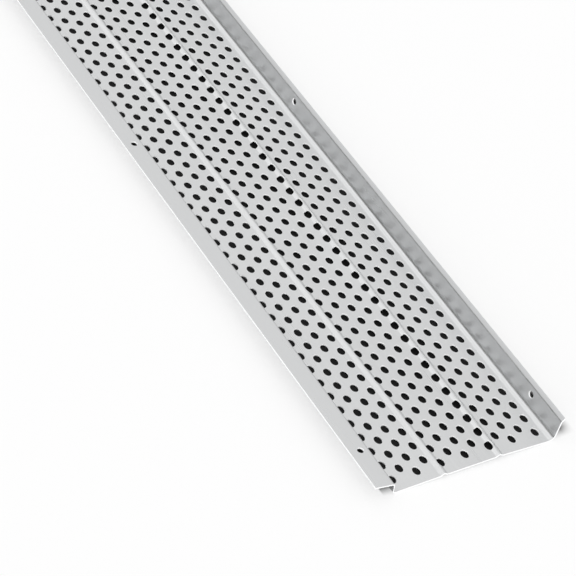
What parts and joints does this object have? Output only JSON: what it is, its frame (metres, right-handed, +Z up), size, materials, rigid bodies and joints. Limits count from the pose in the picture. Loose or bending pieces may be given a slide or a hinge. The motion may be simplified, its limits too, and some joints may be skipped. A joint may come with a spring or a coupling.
{
  "type": "gutter guard",
  "caption": "Perforated aluminium gutter guard: a folded sheet panel with oval drain holes, stiffening ribs, and screw holes in its front and back flanges.",
  "frame": {"origin": "middle of the panel's footprint, on the level that both feet of its perforated deck stand on", "axes": "+X across the panel from the gutter's lip to the house wall, +Y along its length, +Z up out of the gutter"},
  "size_m": [0.1276, 1.219, 0.0165],
  "materials": {
    "mill_aluminium": "satin"
  },
  "bodies": {
    "root": {"guard_panel": "mill_aluminium"}
  },
  "joints": []
}
